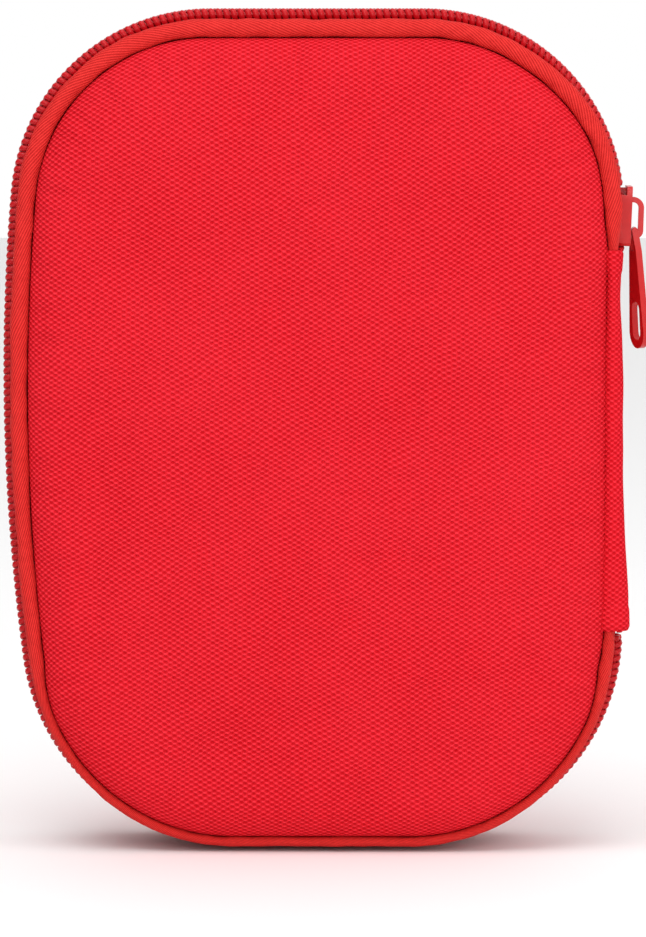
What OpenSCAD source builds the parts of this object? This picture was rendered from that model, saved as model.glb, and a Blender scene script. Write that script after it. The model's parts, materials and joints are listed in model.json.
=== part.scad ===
// First aid kit: a padded pouch that a zip runs round on three sides and
// that opens like a book on its fabric spine, with its pockets and contents.
// Origin: middle of the overall width and depth, on the surface it stands on.
// X is across the case towards the spine, Y runs from the front cover to the
// rear one, Z is up.

/* [Case] */
// Width over the zip
case_w = 115; // [110:0.5:150]
// Height over the zip
case_h = 155; // [146:1:200]
// Depth from the centre of one piping to the centre of the other
edge_depth = 25; // [24:0.5:40]
// Radius of the zip line's upper corners
corner_r = 37; // [34:1:44]
// Radius of the zip line's lower corners
foot_r = 39.5; // [35:0.5:44]
// Radius of the outward bow of the side opposite the spine
bow_r = 400; // [250:10:900]
// Height of the widest point above the middle
bow_up = 9; // [0:1:15]

/* [Covers] */
// Height of a cover above its piping
crown = 8; // [7:0.5:14]
// Width of a cover's rounded shoulder
shoulder = 28; // [20:1:31]
// Thickness of the outer fabric
fabric_t = 1.0; // [0.6:0.1:1.4]
// Thickness of the foam
foam_t = 2.5; // [1.5:0.1:3]
// Thickness of the lining
lining_t = 0.5; // [0.3:0.1:0.8]

/* [Piping] */
// Diameter of the piping
piping_d = 3.4; // [2.6:0.1:4]
// Diameter of the cord inside it
piping_cord_d = 2.4; // [1.6:0.1:2.8]
// Gap from the zip line in to the piping
piping_gap = 2; // [1.2:0.1:3]

/* [Zip] */
// Width of the closed chain
chain_w = 6; // [4:0.1:8]
// Thickness of the chain
chain_t = 2.4; // [1.6:0.1:3]
// Thickness of the tape
tape_t = 0.6; // [0.4:0.1:1]
// Length of the slider
slider_l = 11; // [9:0.5:15]
// Thickness of each slider plate
plate_t = 1; // [0.8:0.1:1.4]
// Height of the slider's bridge above its plate
bridge_h = 2.4; // [2.2:0.1:3.4]
// Length of the pull tab
tab_l = 22; // [18:0.5:34]
// Thickness of the pull tab
tab_t = 1.2; // [0.8:0.1:1.3]

/* [Spine] */
// Thickness of the spine panel
spine_t = 1; // [0.6:0.1:1.6]
// Length of tape tucked under each end of the spine
tuck = 8; // [5:0.5:14]

/* [Contents] */
// Diameter of a bandage roll
roll_d = 22; // [16:0.5:23]
// Length of a bandage roll
roll_l = 50; // [40:1:56]
// Diameter of the adhesive tape roll
tape_roll_d = 34; // [26:0.5:35]
// Width of the adhesive tape
tape_roll_w = 12; // [8:0.5:12]
// Side of a square gauze pad in its wrapper
gauze_w = 46; // [36:1:48]
// Number of gauze pads
gauze_count = 4; // [1:1:4]
// Length of the scissors from pivot to tip
blade_l = 38; // [28:1:40]
// Length of the scissors from pivot to finger ring centre
shank_l = 36; // [33:1:38]
// Thickness of each half of the scissors
blade_t = 1.6; // [1.2:0.1:1.7]
// Length of the tweezers
tweezers_l = 58; // [44:1:62]

/* [Hidden] */
$fn = 48;

// Clearances
gap = 0.05;           // between layers that are sewn together
free = 0.3;           // between pieces that move past each other
seat = 0.2;           // between a piece and what it rests on

// Slider, with depths measured out of the chain from its outer face
plate_w = seat + plate_t;                 // outer face of the top plate
bridge_from = 1.3;    // the bridge is a bar bent into a D
bridge_to = slider_l - 2;
bridge_bar = 1;
bridge_u = 1.6;
pivot_d = bridge_h - bridge_bar - 0.4;    // crossbar of the pull tab
pivot_v = bridge_from + bridge_bar + pivot_d / 2 + 0.15;
pivot_w = plate_w + bridge_h - bridge_bar - pivot_d / 2 - 0.1;
slider_a = -1.9;      // place of the slider's middle on the corner arc
slider_floor = 0.55;  // gap under the tape, which leaves room for the corner
flange_t = 0.9;
chain_gap = 1.6;      // between the halves of the chain, where the slider's post runs
slider_free = 0.5;    // beside the chain, in the slider
post_t = chain_gap - 2 * slider_free;
mouth_extra = 0.75;   // by which the slider's mouth is wider on each side
slider_rear = chain_w / 2 + slider_free + flange_t;
slider_mouth = slider_rear + mouth_extra;

// The zip line, seen from the front: from far_x to spine_x across, 0 to case_h up
spine_x = (case_w - plate_w - bridge_h) / 2;
far_x = spine_x - case_w;
half_h = case_h / 2;
corner_z = half_h - corner_r;             // corner centres, above and below the middle
foot_z = half_h - foot_r;
right_x = spine_x - corner_r;
right_foot_x = spine_x - foot_r;
bow_x = far_x + bow_r;
left_x = bow_x - sqrt(pow(bow_r - corner_r, 2) - pow(corner_z - bow_up, 2));
left_foot_x = bow_x - sqrt(pow(bow_r - foot_r, 2) - pow(foot_z + bow_up, 2));
bow_a = asin((corner_z - bow_up) / (bow_r - corner_r));    // turn of the bow above and below
bow_foot_a = asin((foot_z + bow_up) / (bow_r - foot_r));
corner_steps = 10;
bow_steps = 6;
settle_h = 45;        // height over which the edges sink to stand flat

// Depth and inset of what runs round the case
edge_y = edge_depth / 2;
piping_r = piping_d / 2;
piping_inset = piping_gap + piping_r;
seam_inset = piping_gap + piping_d + gap;
tape_inset = chain_t + gap;
tape_end_y = edge_y - piping_r - seat;
lining_inset = seam_inset + fabric_t + foam_t + lining_t + 2 * gap;
inner_inset = tape_inset + tape_t + slider_floor + plate_t + 0.4;   // clear of the slider

// Spine, whose outer face holds both fold lines
wrap_inset = min(piping_gap, tape_inset) - gap;
wrap_r = piping_inset - wrap_inset;
fold_gap = 0.15;
slider_z = half_h + corner_z + corner_r * sin(slider_a);
spine_top = slider_z - slider_l / 2 - 0.4;
spine_bottom = half_h - foot_z + 1.5;
chain_top = slider_z + slider_l / 2 + free;
chain_top_a = asin((chain_top - half_h - corner_z) / corner_r);
end_a = 0.5;          // angle kept clear between the ends of the zip and its halves

// Pockets and contents
inner_y = edge_y + crown - (lining_inset - seam_inset);   // flat of the lining, from the middle
front_sheet_y = edge_y - 2.1;             // inner face of the front pocket sheet
sheet_t = 0.5;
tool_y = front_sheet_y - sheet_t - 0.9;   // face of the scissors nearest the front pocket
rear_sheet_y = 2.4;
pocket_foot = half_h - 6.5;               // lower edge of the rear pocket
pocket_top = case_h - 22;
roll_y = edge_y + 1 - roll_d / 2;
roll_z = 18;
roll_pitch = roll_d + 3;
roll_x = left_foot_x - sqrt(foot_r * foot_r - pow(foot_r - roll_z, 2)) + 18.1;
band_w = 20;
band_t = 0.8;
band_foot_y = edge_y - 1;
spool_x = spine_x - 29.5;
spool_z = 36;
tape_core_r = 9;
pad_t = 1.9;
pads_x = far_x + 17.5;
pads_z = half_h + 0.5;
pack_x = spine_x - 47.5;
pack_w = 30;
pack_t = 7;
packets_x = (far_x + spine_x) / 2;
scissors_x = spine_x - 33.5;
scissors_z = half_h + 12;
ring_r = 9.5;
ring_bore_r = 6.8;
ring_x = 10.4;
rivet_r = 1.8;
tweezers_x = far_x + 19.5;
tweezers_z = half_h - 3;
tweezers_w = 7;

// ---- Shapes that run round the case ----

// Stations [x, z, direction of the outward normal] along one arc
function arc(cx, cz, r, from, to, steps, skip = 0) =
    [for (i = [skip : steps]) let (a = from + (to - from) * i / steps)
        [cx + r * cos(a), cz + r * sin(a), a]];

// Stations round the zip line from angle a0 of the upper spine corner to a1 of the lower one
function rim(a0 = 0, a1 = 360) = concat(
    arc(right_x, corner_z, corner_r, a0, 90, corner_steps),
    arc(left_x, corner_z, corner_r, 90, 180 - bow_a, corner_steps),
    arc(bow_x, bow_up, bow_r, 180 - bow_a, 180 + bow_foot_a, bow_steps, 1),
    arc(left_foot_x, -foot_z, foot_r, 180 + bow_foot_a, 270, corner_steps, 1),
    arc(right_foot_x, -foot_z, foot_r, 270, a1, corner_steps)
);

// How far the edge sinks at depth y, so that the pipings stand on the surface as the chain does
function sink(y) =
    piping_gap * min(1, max(0, (abs(y) - chain_w / 2) / (tape_end_y - chain_w / 2)));

// Point at an inset and depth from a station
function place(s, d, y) =
    let (z = half_h + s[1] - d * sin(s[2]),
         u = min(1, max(0, 1 - (z - piping_gap) / settle_h)))
    [s[0] - d * cos(s[2]), y, z - sink(y) * u * u];

// Two triangles for each cell of a grid of points, m to a row
function cell(a, b, c, d) = [[a, b, c], [a, c, d]];

// Solid with a profile of [inset, depth] points carried round the stations; an open one has
// a profile of two facing rows, so that its ends close in a strip
module carried(profile, stations, closed = false) {
    n = len(stations);
    m = len(profile);
    polyhedron(
        points = [for (s = stations, p = profile) place(s, p[0], p[1])],
        faces = concat(
            [for (i = [0 : n - (closed ? 1 : 2)], j = [0 : m - 1])
                let (k = (i + 1) % n, l = (j + 1) % m)
                each cell(i * m + j, i * m + l, k * m + l, k * m + j)],
            closed ? [] : [for (e = [0, (n - 1) * m], j = [0 : m / 2 - 2])
                let (a = e + j, b = e + m - 1 - j)
                each e == 0 ? cell(b, b - 1, a + 1, a) : cell(a, a + 1, b - 1, b)]
        ),
        convexity = 8
    );
}

// Shell of a crowned cover between two distances inside its outer skin
module crowned(t0, t1) {
    stations = rim();
    n = len(stations);
    sweep = [for (a = [90 : -15 : 0]) a];
    loops = concat([for (a = sweep) shoulder_point(a, t0)],
                   [for (i = [len(sweep) - 1 : -1 : 0]) shoulder_point(sweep[i], t1)]);
    m = len(loops);
    poles = [[0, loops[0][1], half_h], [0, loops[m - 1][1], half_h]];
    polyhedron(
        points = concat([for (p = loops, s = stations) place(s, p[0], p[1])], poles),
        faces = concat(
            [for (j = [0 : m - 2], i = [0 : n - 1])
                let (k = (i + 1) % n)
                each cell(j * n + i, j * n + k, (j + 1) * n + k, (j + 1) * n + i)],
            [for (i = [0 : n - 1]) [m * n, (i + 1) % n, i]],
            [for (i = [0 : n - 1]) [m * n + 1, (m - 1) * n + i, (m - 1) * n + (i + 1) % n]]
        ),
        convexity = 6
    );
}

// Quarter ellipse of the shoulder: 0 at the seam, 90 where the cover goes flat
function shoulder_point(a, t) =
    [seam_inset + shoulder - (shoulder - t) * cos(a), -edge_y - (crown - t) * sin(a)];

// Arc about the piping's centre as [inset, depth] points, 0 degrees facing outwards
function ring_profile(r, from, to, sides) =
    [for (i = [0 : sides]) let (a = from + (to - from) * i / sides)
        [piping_inset - r * cos(a), -edge_y - r * sin(a)]];

// Outline of the inside, as a flat shape drawn in the plane of the cover
module inside_outline(inset) {
    polygon([for (s = rim()) let (p = place(s, inset, 0)) [p[0], p[2]]]);
}

// Stands a flat shape up in the plane of the cover, from depth y to y + t
module upright(y, t) {
    translate([0, y + t, 0]) rotate([90, 0, 0]) linear_extrude(t) children();
}

// What a sheet across the inside may cover, between two heights
module across_inside(z0, z1) {
    intersection() {
        inside_outline(inner_inset);
        translate([far_x, z0]) square([case_w, z1 - z0]);
    }
}

module rear() { mirror([0, 1, 0]) children(); }

// ---- One half of the case, as the front half ----

module cover() { color("red") crowned(0, fabric_t); }

module foam() { color("whitesmoke") crowned(fabric_t + gap, fabric_t + gap + foam_t); }

module lining() {
    color("dimgray") crowned(fabric_t + foam_t + 2 * gap, fabric_t + foam_t + lining_t + 2 * gap);
}

// Bias tape folded round the cord, its edges meeting at the seam
module piping() {
    slit = 8;
    color("orangered") carried(concat(
        ring_profile(piping_r, 180 + slit, 540 - slit, 12),
        ring_profile(piping_cord_d / 2 + gap, 540 - slit, 180 + slit, 10)
    ), rim(), closed = true);
}

module piping_cord() {
    color("white") carried(ring_profile(piping_cord_d / 2, 0, 315, 7), rim(), closed = true);
}

module seam_binding() {
    color("firebrick") carried([
        [seam_inset + 0.3, -edge_y + 0.1], [seam_inset + 0.3, -edge_y + 1.7],
        [lining_inset - 0.2, -edge_y + 1.7], [lining_inset - 0.2, -edge_y + 0.1]
    ], rim(), closed = true);
}

// Front half of the tape along the given stations, up to the gap that the slider's post runs in
module half_tape(stations) {
    color("darkred") carried([
        for (p = [[0, tape_end_y], [0, chain_w / 2], [0, chain_gap / 2],
                  [tape_t, chain_gap / 2], [tape_t, chain_w / 2], [tape_t, tape_end_y]])
        [tape_inset + p[0], -p[1]]
    ], stations);
}

module zip_tape() {
    half_tape(rim(chain_top_a + end_a, 360 - end_a));
}

module zip_coil() {
    edge = chain_w / 2;
    color("crimson") carried([
        [0.5, -edge], [0, -edge + 0.5], [0, -chain_gap / 2],
        [chain_t, -chain_gap / 2], [chain_t, -edge + 0.4], [chain_t - 0.4, -edge]
    ], rim(chain_top_a + end_a, 360 - end_a));
}

// ---- Spine, with the two ends of the zip that are sewn into it ----

// Part of the spine fabric that wraps the front piping, from the fold line to the seam
module spine_fold() {
    color("red") translate([spine_x - piping_inset, -edge_y, spine_bottom])
    linear_extrude(spine_top - spine_bottom) difference() {
        circle(r = wrap_r + spine_t);
        circle(r = wrap_r);
        translate([-8, -fold_gap]) square([16, 8]);
        polygon([[0, 0], [-4, -8], [-8, -8], [-8, 0]]);
    }
}

module spine_panel() {
    y = edge_y - fold_gap;
    color("red") translate([spine_x - wrap_inset, -y, spine_bottom])
    cube([spine_t, 2 * y, spine_top - spine_bottom]);
}

module spine_lining() {
    y = tape_end_y - seat;
    z0 = spine_bottom + tuck + 1;
    color("dimgray") translate([spine_x - tape_inset - tape_t, -y, z0])
    cube([tape_t, 2 * y, spine_top - tuck - 1 - z0]);
}

// Sewn end of both halves of the tape, along the given stations
module tape_end(stations) {
    half_tape(stations);
    rear() half_tape(stations);
}

module zip_top_tape() {
    tape_end(concat([[spine_x, spine_top - tuck - half_h, 0]],
                    arc(right_x, corner_z, corner_r, 0, chain_top_a, 3)));
}

// Length of chain inside the slider
module zip_top_chain() {
    color("crimson") on_zip() slab(-chain_t + free, -0.1) for (side = [-1, 1])
        translate([side * (chain_gap + chain_w) / 4 - (chain_w - chain_gap) / 4 + 0.15, -0.3])
        square([(chain_w - chain_gap) / 2 - 0.3, slider_l + free + 0.1]);
}

module zip_bottom_tape() {
    tape_end([[spine_x, -foot_z, 0], [spine_x, spine_bottom + tuck - half_h, 0]]);
}

module zip_bottom_chain() {
    color("crimson") translate([0, 0, half_h - foot_z]) for (side = [0, 1]) mirror([0, side, 0])
    translate([spine_x - chain_t, chain_gap / 2, 0])
    cube([chain_t, (chain_w - chain_gap) / 2, spine_bottom - half_h + foot_z - 0.1]);
}

// ---- Slider: drawn along +Z with its mouth up and its back to the chain at X = 0 ----

module on_zip() {
    translate([right_x, 0, half_h + corner_z]) rotate([0, -slider_a, 0])
    translate([corner_r, 0, -slider_l / 2]) children();
}

module slider_plan() {
    polygon([
        [-slider_mouth, slider_l - 0.6], [-slider_mouth + 0.6, slider_l],
        [slider_mouth - 0.6, slider_l], [slider_mouth, slider_l - 0.6],
        [slider_mouth, slider_l - 3.2], [slider_rear, slider_l - 6.4], [slider_rear, 0.6],
        [slider_rear - 0.6, 0], [-slider_rear + 0.6, 0], [-slider_rear, 0.6],
        [-slider_rear, slider_l - 6.4], [-slider_mouth, slider_l - 3.2]
    ]);
}

// Way of the chain through the slider, wider in the mouth
module chain_way() {
    rear = slider_rear - flange_t;
    mouth = slider_mouth - flange_t;
    polygon([
        [-rear, -1], [-rear, slider_l - 6.2], [-mouth, slider_l - 3], [-mouth, slider_l - 1.6],
        [-slider_mouth - 1, slider_l - 1.6], [-slider_mouth - 1, slider_l + 1],
        [slider_mouth + 1, slider_l + 1], [slider_mouth + 1, slider_l - 1.6],
        [mouth, slider_l - 1.6], [mouth, slider_l - 3], [rear, slider_l - 6.2], [rear, -1]
    ]);
}

// Flat shape [across, along] given thickness from w0 to w1 out of the chain
module slab(w0, w1) {
    translate([w0, 0, 0]) rotate([90, 0, 90]) linear_extrude(w1 - w0) children();
}

module slider_body() {
    floor_w = -tape_inset - tape_t - slider_floor;
    color("indianred") on_zip() {
        slab(seat, plate_w) slider_plan();
        slab(floor_w - plate_t, floor_w) slider_plan();
        slab(-tape_inset + free, seat + gap) difference() { slider_plan(); chain_way(); }
        slab(floor_w - gap, seat + gap)
        translate([-post_t / 2, slider_l - 4.5]) square([post_t, 4.2]);
        slider_bridge();
    }
}

// Rectangle [out of the chain, along] with rounded outer corners
module rounded_out(w0, w1, v0, v1, r0, r1) {
    translate([w0, v0]) square([w1 - max(r0, r1) - w0, v1 - v0]);
    translate([w0, v0 + r0]) square([w1 - w0, v1 - v0 - r0 - r1]);
    translate([w1 - r0, v0 + r0]) circle(r = r0);
    translate([w1 - r1, v1 - r1]) circle(r = r1);
}

module slider_bridge() {
    top = plate_w + bridge_h;
    translate([0, bridge_u / 2, 0]) rotate([90, 0, 0]) linear_extrude(bridge_u) difference() {
        rounded_out(plate_w - gap, top, bridge_from, bridge_to, 1.5, 2);
        rounded_out(plate_w - 1, top - bridge_bar, bridge_from + bridge_bar,
                    bridge_to - bridge_bar, 0.5, 1);
    }
}

// Pull tab, hanging from a round crossbar that passes through the bridge
module pull_tab() {
    window_u = bridge_u + 2 * 0.35;
    rail = 1.1;
    top_u = window_u + 2 * rail;
    end_r = 3.1;
    window_l = 3.9;
    color("brown") on_zip() translate([pivot_w, 0, pivot_v]) rotate([0, slider_a, 0]) {
        rotate([90, 0, 0]) cylinder(d = pivot_d, h = top_u, center = true);
        difference() {
            slab(-tab_t / 2, tab_t / 2) {
                translate([-top_u / 2, -window_l - 2]) square([top_u, window_l + 2]);
                polygon([
                    [-top_u / 2, -window_l], [top_u / 2, -window_l],
                    [end_r, -tab_l + end_r], [-end_r, -tab_l + end_r]
                ]);
                translate([0, -tab_l + end_r]) circle(r = end_r);
            }
            slab(-tab_t, tab_t) {
                translate([-window_u / 2, -window_l]) square([window_u, window_l + 1]);
                for (v = [-tab_l + end_r, -tab_l + end_r + 4]) translate([0, v]) circle(r = 1.6);
                translate([-1.6, -tab_l + end_r]) square([3.2, 4]);
            }
        }
    }
}

// ---- Pockets ----

module front_pocket() {
    color("gray") upright(-front_sheet_y, sheet_t) across_inside(0, pocket_top);
}

// Elastic bound over a pocket's upper edge, centred on depth y
module pocket_elastic(y) {
    color("black") upright(y - sheet_t, 2 * sheet_t) across_inside(pocket_top + gap, pocket_top + 8);
}

module front_pocket_elastic() { pocket_elastic(-front_sheet_y + sheet_t / 2); }

module rear_pocket() {
    color("gray") upright(rear_sheet_y, sheet_t) across_inside(pocket_foot, pocket_top);
}

module rear_pocket_elastic() { pocket_elastic(rear_sheet_y + sheet_t / 2); }

// ---- Contents of the rear half ----

module at_roll(i) { translate([roll_x + i * roll_pitch, roll_y]) children(); }

module bandage_roll(i) {
    color("white") translate([0, 0, roll_z]) linear_extrude(roll_l) at_roll(i) circle(d = roll_d);
}

// Elastic that loops over both rolls and is sewn down beside them
module bandage_band() {
    loop_r = roll_d / 2 + seat;
    color("black") translate([0, 0, roll_z + (roll_l - band_w) / 2]) linear_extrude(band_w) {
        for (i = [0, 1]) at_roll(i) difference() {
            circle(r = loop_r + band_t);
            circle(r = loop_r);
            translate([-roll_d, band_foot_y - roll_y]) square(2 * roll_d);
        }
        difference() {
            translate([roll_x - roll_d / 2 - 1, band_foot_y - band_t])
            square([roll_pitch + roll_d + 2, band_t]);
            for (i = [0, 1]) at_roll(i) circle(r = loop_r + band_t / 2);
        }
    }
}

module on_spool() { translate([spool_x, edge_y - seat, spool_z]) rotate([90, 0, 0]) children(); }

module adhesive_tape() {
    color("white") on_spool() difference() {
        cylinder(d = tape_roll_d, h = tape_roll_w);
        translate([0, 0, -1]) cylinder(r = tape_core_r + gap, h = tape_roll_w + 2);
    }
}

module tape_core() {
    color("lightblue") on_spool() difference() {
        cylinder(r = tape_core_r, h = tape_roll_w);
        translate([0, 0, -1]) cylinder(r = tape_core_r - 1.5, h = tape_roll_w + 2);
    }
}

module gauze_pads() {
    color("white") for (i = [0 : gauze_count - 1])
        translate([pads_x, edge_y - 0.6 - (i + 1) * pad_t - i * gap, pads_z])
        cube([gauze_w, pad_t, gauze_w]);
}

module plaster_pack() {
    color("khaki") translate([pack_x, edge_y - 1.5 - pack_t, half_h - 4]) cube([pack_w, pack_t, 56]);
}

// ---- Contents of the front half ----

module front_packet(z, w, h, y0, y1) {
    translate([packets_x - w / 2, -y1, z]) cube([w, y1 - y0, h]);
}

module triangular_bandage() {
    color("white") front_packet(half_h - 2, 64, 52, edge_y - 0.9, inner_y - 1.5);
}

module glove_pack() {
    color("lightblue") front_packet(24, 60, 44, edge_y - 0.9, inner_y - 1.5);
}

module leaflet() {
    color("ivory") front_packet(40, 58, 80, front_sheet_y + seat, edge_y - 1.1);
}

module tweezers() {
    color("silver") upright(-tool_y, 3.4) translate([tweezers_x, tweezers_z]) difference() {
        union() {
            translate([0, tweezers_l - 10]) circle(d = tweezers_w * 0.6);
            polygon([
                [-tweezers_w / 2, 8], [-0.8, 0], [0.8, 0], [tweezers_w / 2, 8],
                [tweezers_w * 0.3, tweezers_l - 10], [1.2, tweezers_l],
                [-1.2, tweezers_l], [-tweezers_w * 0.3, tweezers_l - 10]
            ]);
        }
        polygon([
            [-tweezers_w / 2 + 1, 8], [-0.15, 0.8], [-0.15, -1], [0.15, -1], [0.15, 0.8],
            [tweezers_w / 2 - 1, 8], [0.4, tweezers_l - 12], [-0.4, tweezers_l - 12]
        ]);
    }
}

// Bridge of elastic over a tool of half width w, seen from above
module tool_loop(x, z, w, h, depth) {
    t = 0.7;
    translate([x, 0, z]) linear_extrude(h) difference() {
        translate([-w - t, -tool_y - 0.7]) square([2 * (w + t), depth + 0.7 + seat + t]);
        translate([-w, -tool_y - 0.8]) square([2 * w, depth + 0.8 + seat]);
    }
}

module tool_loops() {
    color("black") {
        tool_loop(tweezers_x, tweezers_z + tweezers_l / 2 - 4, tweezers_w / 2 + 0.3, 9, 3.4);
        tool_loop(scissors_x + 4.9, scissors_z + shank_l - 16, 4, 5, blade_t);
    }
}

// One half of the scissors, its ring on the +X side, pivot at the origin
module scissors_half() {
    difference() {
        union() {
            polygon([[-3.6, 5], [-3.4, -6], [0.9, -blade_l], [2.2, -blade_l + 1], [3.4, -6], [3.6, 3]]);
            polygon([[-3.6, 3], [3.6, 3], [ring_x - 1.5, shank_l - 6], [ring_x - 5, shank_l - 4]]);
            circle(r = 4.4);
            translate([ring_x, shank_l]) circle(r = ring_r);
        }
        translate([ring_x, shank_l]) circle(r = ring_bore_r);
    }
}

module scissors_fixed_half() {
    color("silver") upright(-tool_y, blade_t) translate([scissors_x, scissors_z]) difference() {
        scissors_half();
        circle(r = rivet_r + gap);
    }
}

module scissors_moving_half() {
    color("silver") upright(-tool_y + blade_t + 0.1, blade_t)
    translate([scissors_x, scissors_z]) mirror([1, 0]) difference() {
        scissors_half();
        circle(r = rivet_r + gap);
    }
}

module scissors_rivet() {
    shaft = 2 * blade_t + 0.1;
    color("gray") translate([scissors_x, -tool_y, scissors_z]) rotate([-90, 0, 0]) {
        translate([0, 0, -0.5]) cylinder(r = rivet_r, h = shaft + 1);
        translate([0, 0, -0.55]) cylinder(r = rivet_r + 1, h = 0.5);
        translate([0, 0, shaft + gap]) cylinder(r = rivet_r + 1, h = 0.5);
    }
}

rear() cover();  // rear_cover
rear() foam();  // rear_foam
rear() lining();  // rear_lining
rear() piping();  // rear_piping
rear() piping_cord();  // rear_piping_cord
rear() seam_binding();  // rear_seam_binding
rear() zip_tape();  // rear_zip_tape
rear() zip_coil();  // rear_zip_coil
rear_pocket();
rear_pocket_elastic();
cover();  // front_cover
foam();  // front_foam
lining();  // front_lining
piping();  // front_piping
piping_cord();  // front_piping_cord
seam_binding();  // front_seam_binding
zip_tape();  // front_zip_tape
zip_coil();  // front_zip_coil
front_pocket();
front_pocket_elastic();
rear() spine_fold();  // rear_spine_fold
spine_fold();  // front_spine_fold
spine_panel();
spine_lining();
zip_top_tape();
zip_top_chain();
zip_bottom_tape();
zip_bottom_chain();
slider_body();
pull_tab();
bandage_band();
bandage_roll(0);  // bandage_roll_left
bandage_roll(1);  // bandage_roll_right
adhesive_tape();
tape_core();
gauze_pads();
plaster_pack();
triangular_bandage();
glove_pack();
leaflet();
tweezers();
tool_loops();
scissors_fixed_half();
scissors_moving_half();
scissors_rivet();
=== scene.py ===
import json
import math

import bmesh
import bpy
import numpy as np
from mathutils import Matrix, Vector


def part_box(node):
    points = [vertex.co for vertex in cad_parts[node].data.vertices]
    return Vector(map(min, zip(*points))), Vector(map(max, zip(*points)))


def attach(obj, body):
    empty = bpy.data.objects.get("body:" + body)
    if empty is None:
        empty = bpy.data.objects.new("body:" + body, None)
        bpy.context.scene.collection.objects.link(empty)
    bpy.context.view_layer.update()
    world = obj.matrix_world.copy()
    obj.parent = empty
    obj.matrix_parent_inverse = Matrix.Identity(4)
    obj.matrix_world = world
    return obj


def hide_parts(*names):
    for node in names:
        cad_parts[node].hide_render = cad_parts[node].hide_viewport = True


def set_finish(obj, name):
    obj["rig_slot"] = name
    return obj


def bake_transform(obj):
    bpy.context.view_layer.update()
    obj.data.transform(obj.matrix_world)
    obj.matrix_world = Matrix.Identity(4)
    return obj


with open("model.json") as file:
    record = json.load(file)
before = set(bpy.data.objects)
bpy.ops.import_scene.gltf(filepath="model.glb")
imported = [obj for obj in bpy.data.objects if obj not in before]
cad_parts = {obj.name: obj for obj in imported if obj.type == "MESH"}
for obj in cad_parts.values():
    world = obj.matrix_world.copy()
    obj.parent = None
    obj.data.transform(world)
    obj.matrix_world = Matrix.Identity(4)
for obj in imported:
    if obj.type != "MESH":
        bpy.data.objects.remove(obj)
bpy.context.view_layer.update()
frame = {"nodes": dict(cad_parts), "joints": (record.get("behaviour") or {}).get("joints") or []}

PI = math.pi

CORNER_R, FOOT_R = 37.0, 39.5    # upper and lower corners of the zip line
BOW_R, BOW_UP = 400.0, 9.0       # bowed side opposite the spine, and its widest point above the middle
PIPING_GAP = 2.0         # from the zip line in to the piping
PIPING_R = 1.7
CHAIN_W, CHAIN_T = 6.0, 2.4
CHAIN_GAP = 1.6          # between the halves of the closed chain
TAPE_T = 0.6
SETTLE = 45.0            # height over which the edges sink towards the surface
SINK = 1.1               # how far they sink at the surface
CROWN, SHOULDER = 8.0, 28.0
FABRIC_T, FOAM_T, LINING_T = 1.0, 2.5, 0.5
END_ANGLE = math.radians(0.5)


def corners(node):
    """Lowest and highest corner of a CAD node, in millimetres."""
    low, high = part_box(node)
    return np.array(low) * 1000, np.array(high) * 1000


_piping = corners("front_piping")
SPINE_X = _piping[1][0] + PIPING_GAP
FAR_X = _piping[0][0] - PIPING_GAP
HALF_H = corners("front_zip_coil")[1][2] / 2
EDGE_Y = -(_piping[0][1] + _piping[1][1]) / 2
STRIP_FOOT, STRIP_TOP = corners("spine_panel")[0][2], corners("spine_panel")[1][2]
STRIP_X = corners("spine_panel")[1][0]
CHAIN_TOP = corners("zip_top_chain")[1][2]

PIPING_INSET = PIPING_GAP + PIPING_R
SEAM_INSET = PIPING_GAP + 2 * PIPING_R + 0.05
TAPE_INSET = CHAIN_T + 0.05
TAPE_END = EDGE_Y - PIPING_R - 0.2
CORNER_Z, FOOT_Z = HALF_H - CORNER_R, HALF_H - FOOT_R
BOW_X = FAR_X + BOW_R
MIDDLE_X = (SPINE_X + FAR_X) / 2


def rim_line():
    """The zip line as close points from the foot of the spine side: length so far, across, up, and direction
    of the outward normal. It is five arcs, (centre) + radius * (cos a, sin a), joined by straights, and the
    corners beside the bow touch it from inside."""
    def beside_bow(radius, up):
        reach, rise = BOW_R - radius, up - BOW_UP
        return BOW_X - math.sqrt(reach ** 2 - rise ** 2), math.asin(rise / reach)
    left_x, turn_up = beside_bow(CORNER_R, CORNER_Z)
    left_foot_x, turn_down = beside_bow(FOOT_R, -FOOT_Z)
    arcs = [(SPINE_X - CORNER_R, CORNER_Z, CORNER_R, 0, PI / 2),
            (left_x, CORNER_Z, CORNER_R, PI / 2, PI - turn_up),
            (BOW_X, BOW_UP, BOW_R, PI - turn_up, PI - turn_down),
            (left_foot_x, -FOOT_Z, FOOT_R, PI - turn_down, 1.5 * PI),
            (SPINE_X - FOOT_R, -FOOT_Z, FOOT_R, 1.5 * PI, 2 * PI)]
    t = np.linspace(0, 1, 160)
    turn = [a0 + (a1 - a0) * t for _, _, _, a0, a1 in arcs]
    x = np.concatenate([[SPINE_X]] + [c[0] + c[2] * np.cos(a) for c, a in zip(arcs, turn)])
    z = np.concatenate([[-FOOT_Z]] + [c[1] + c[2] * np.sin(a) for c, a in zip(arcs, turn)])
    a = np.concatenate([[0.0]] + turn)
    return np.concatenate([[0.0], np.cumsum(np.hypot(np.diff(x), np.diff(z)))]), x, z, a


RIM = rim_line()
AROUND = RIM[0][-1]
SPINE_SIDE = FOOT_Z + CORNER_Z
CHAIN_START = SPINE_SIDE + CORNER_R * (math.asin((CHAIN_TOP - HALF_H - CORNER_Z) / CORNER_R) + END_ANGLE)
CHAIN_END = AROUND - FOOT_R * END_ANGLE


def along_rim(s):
    """Across, up and direction at lengths s along the zip line."""
    return [np.interp(s, RIM[0], row) for row in RIM[1:]]


def eased(value, start, end):
    """From 0 at the start to 1 at the end, smoothly, whichever of the two is larger."""
    t = np.clip((value - start) / (end - start), 0, 1)
    return t * t * (3 - 2 * t)


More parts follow.
